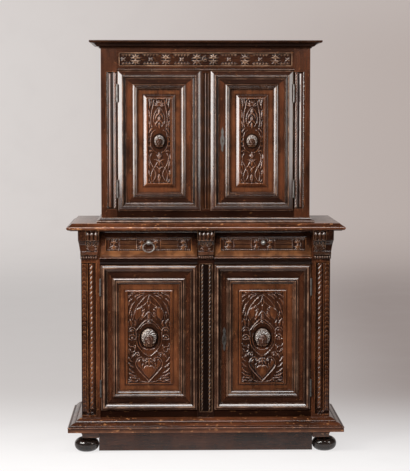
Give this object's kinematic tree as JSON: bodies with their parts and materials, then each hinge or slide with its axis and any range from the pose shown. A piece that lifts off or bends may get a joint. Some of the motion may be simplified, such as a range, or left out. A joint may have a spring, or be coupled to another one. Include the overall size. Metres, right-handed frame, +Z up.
{
  "type": "court cupboard",
  "caption": "Carved walnut cupboard with a narrower stage of panelled doors over a wider one with drawers and doors, on ball feet.",
  "frame": {"origin": "on the floor, under the middle of the whole object", "axes": "+X to the right as seen from the front, +Y to the back, +Z up; the doors face -Y"},
  "size_m": [1.2784, 0.5767, 1.905],
  "materials": {
    "walnut": "dark wax polish, worn on the edges",
    "walnut_moulding": "dark wax polish with bright worn beads",
    "walnut_carved": "glossy wax on the heights, dull dark hollows",
    "inner_wood": "plain unpolished boards, aged",
    "iron": "old dark iron, rubbed grey on the edges"
  },
  "bodies": {
    "case": {"base_moulding": "walnut_moulding", "bed_moulding": "walnut_moulding", "bun_feet": "walnut_moulding", "case_hinge_halves": "iron", "corner_brackets": "walnut_carved", "cornice": "walnut_moulding", "drawer_rail": "walnut", "drawer_runners": "inner_wood", "frieze_rail": "walnut_carved", "lower_back_boards": "inner_wood", "lower_bottom_and_shelf": "inner_wood", "lower_centre_post": "walnut", "lower_front_posts": "walnut", "lower_front_rails": "walnut", "lower_rear_posts": "walnut", "plinth_board": "walnut_moulding", "rear_feet": "inner_wood", "side_panels": "walnut", "side_rails": "walnut", "upper_back_boards": "inner_wood", "upper_bottom_shelf_and_top": "inner_wood", "upper_foot_moulding": "walnut_moulding", "upper_front_posts": "walnut", "upper_muntin": "walnut", "upper_rear_posts": "walnut", "upper_sill": "walnut", "waist_slab": "walnut_moulding"},
    "lower_left_door": {"lower_left_door_frame": "walnut", "lower_left_door_head": "walnut_carved", "lower_left_door_ironwork": "iron", "lower_left_door_mouldings": "walnut_moulding", "lower_left_door_panel": "walnut_carved"},
    "lower_right_door": {"lower_right_door_frame": "walnut", "lower_right_door_head": "walnut_carved", "lower_right_door_hinges": "iron", "lower_right_door_mouldings": "walnut_moulding", "lower_right_door_panel": "walnut_carved", "lower_right_lock": "iron"},
    "upper_left_door": {"upper_left_door_frame": "walnut", "upper_left_door_head": "walnut_carved", "upper_left_door_ironwork": "iron", "upper_left_door_mouldings": "walnut_moulding", "upper_left_door_panel": "walnut_carved"},
    "upper_right_door": {"upper_right_door_frame": "walnut", "upper_right_door_head": "walnut_carved", "upper_right_door_hinges": "iron", "upper_right_door_mouldings": "walnut_moulding", "upper_right_door_panel": "walnut_carved", "upper_right_lock": "iron"},
    "left_drawer": {"left_drawer_front": "walnut_carved", "left_drawer_box": "inner_wood", "left_drawer_pull_mount": "iron"},
    "right_drawer": {"right_drawer_front": "walnut_carved", "right_drawer_box": "inner_wood", "right_drawer_pull_mount": "iron"},
    "left_drawer_ring": {"left_drawer_ring": "iron"},
    "lower_right_lock_bolt": {"lower_right_lock_bolt": "iron"},
    "upper_right_lock_bolt": {"upper_right_lock_bolt": "iron"},
    "lower_left_latch_bolt": {"lower_left_latch_bolt": "iron"},
    "upper_left_latch_bolt": {"upper_left_latch_bolt": "iron"}
  },
  "joints": [
    {"name": "lower_left_door_hinge", "type": "hinge", "parent": "case", "child": "lower_left_door", "pos_m": [-0.487, -0.22965, 0.536], "axis": [0, 0, -1], "range_deg": [0, 100]},
    {"name": "lower_right_door_hinge", "type": "hinge", "parent": "case", "child": "lower_right_door", "pos_m": [0.487, -0.22965, 0.536], "axis": [0, 0, 1], "range_deg": [0, 100]},
    {"name": "upper_left_door_hinge", "type": "hinge", "parent": "case", "child": "upper_left_door", "pos_m": [-0.407, -0.18465, 1.444], "axis": [0, 0, -1], "range_deg": [0, 100]},
    {"name": "upper_right_door_hinge", "type": "hinge", "parent": "case", "child": "upper_right_door", "pos_m": [0.407, -0.18465, 1.444], "axis": [0, 0, 1], "range_deg": [0, 100]},
    {"name": "left_drawer_slide", "type": "slide", "parent": "case", "child": "left_drawer", "axis": [0, -1, 0], "range_m": [0, 0.3]},
    {"name": "right_drawer_slide", "type": "slide", "parent": "case", "child": "right_drawer", "axis": [0, -1, 0], "range_m": [0, 0.3]},
    {"name": "left_drawer_ring_swing", "type": "hinge", "parent": "left_drawer", "child": "left_drawer_ring", "pos_m": [-0.264, -0.2444, 0.978], "axis": [-1, 0, 0], "range_deg": [-8, 100]},
    {"name": "lower_lock_bolt_slide", "type": "slide", "parent": "lower_right_door", "child": "lower_right_lock_bolt", "axis": [-1, 0, 0], "range_m": [0, 0.01]},
    {"name": "lower_latch_bolt_slide", "type": "slide", "parent": "lower_left_door", "child": "lower_left_latch_bolt", "axis": [0, 0, 1], "range_m": [0, 0.014]},
    {"name": "upper_lock_bolt_slide", "type": "slide", "parent": "upper_right_door", "child": "upper_right_lock_bolt", "axis": [-1, 0, 0], "range_m": [0, 0.01]},
    {"name": "upper_latch_bolt_slide", "type": "slide", "parent": "upper_left_door", "child": "upper_left_latch_bolt", "axis": [0, 0, 1], "range_m": [0, 0.014]}
  ]
}
